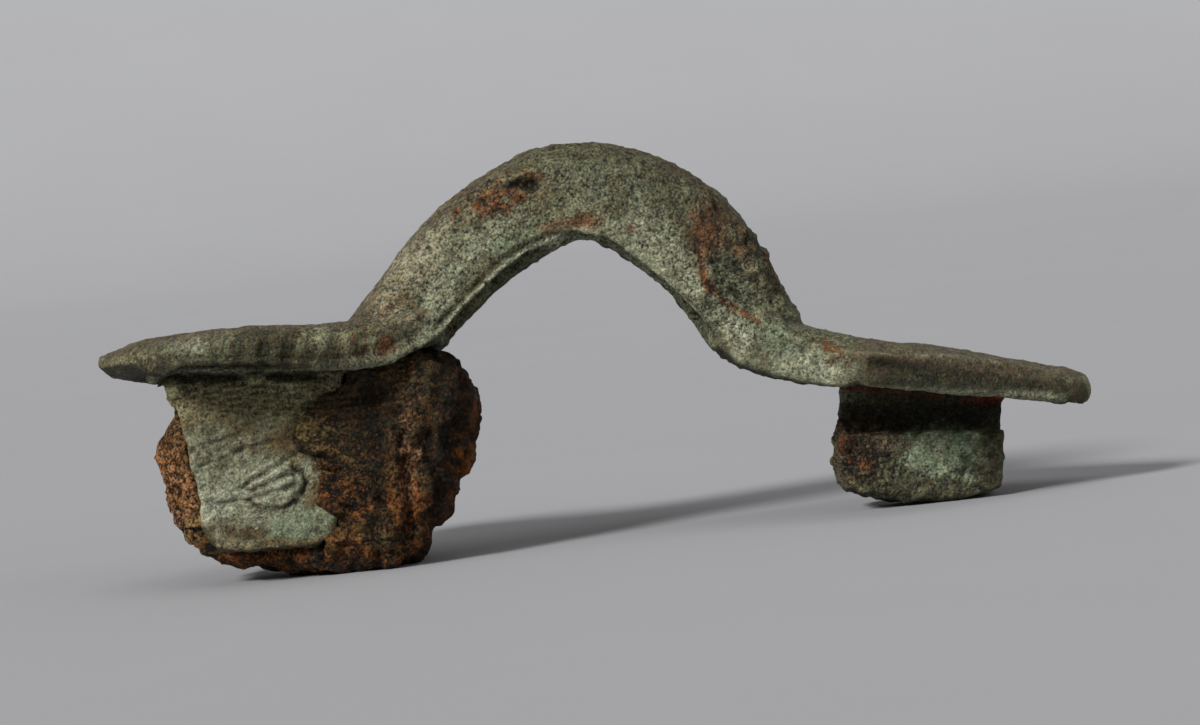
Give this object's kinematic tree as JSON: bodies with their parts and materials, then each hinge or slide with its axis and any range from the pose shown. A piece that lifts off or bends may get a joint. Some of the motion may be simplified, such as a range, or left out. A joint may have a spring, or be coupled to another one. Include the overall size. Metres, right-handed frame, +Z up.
{
  "type": "ancient bow brooch",
  "caption": "Ancient bow brooch in corroded copper alloy: arched bow between a round head plate and a kite-shaped foot plate, with catch, spring lugs and rusted spring, its pin lost.",
  "frame": {"origin": "middle of the footprint, on the ground the brooch lies on", "axes": "+X along the length from the head plate to the foot plate, +Y across the width away from the catch's lip, +Z up with the brooch lying on its pin side"},
  "size_m": [0.051, 0.017, 0.0207],
  "materials": {
    "bronze_patina": "corroded copper alloy under a rough grey-green patina, with brown and rusty patches",
    "rust": "iron rusted right through: crusty, dark brown to orange"
  },
  "bodies": {
    "root": {"brooch_casting": "bronze_patina", "rusted_spring": "rust"}
  },
  "joints": []
}
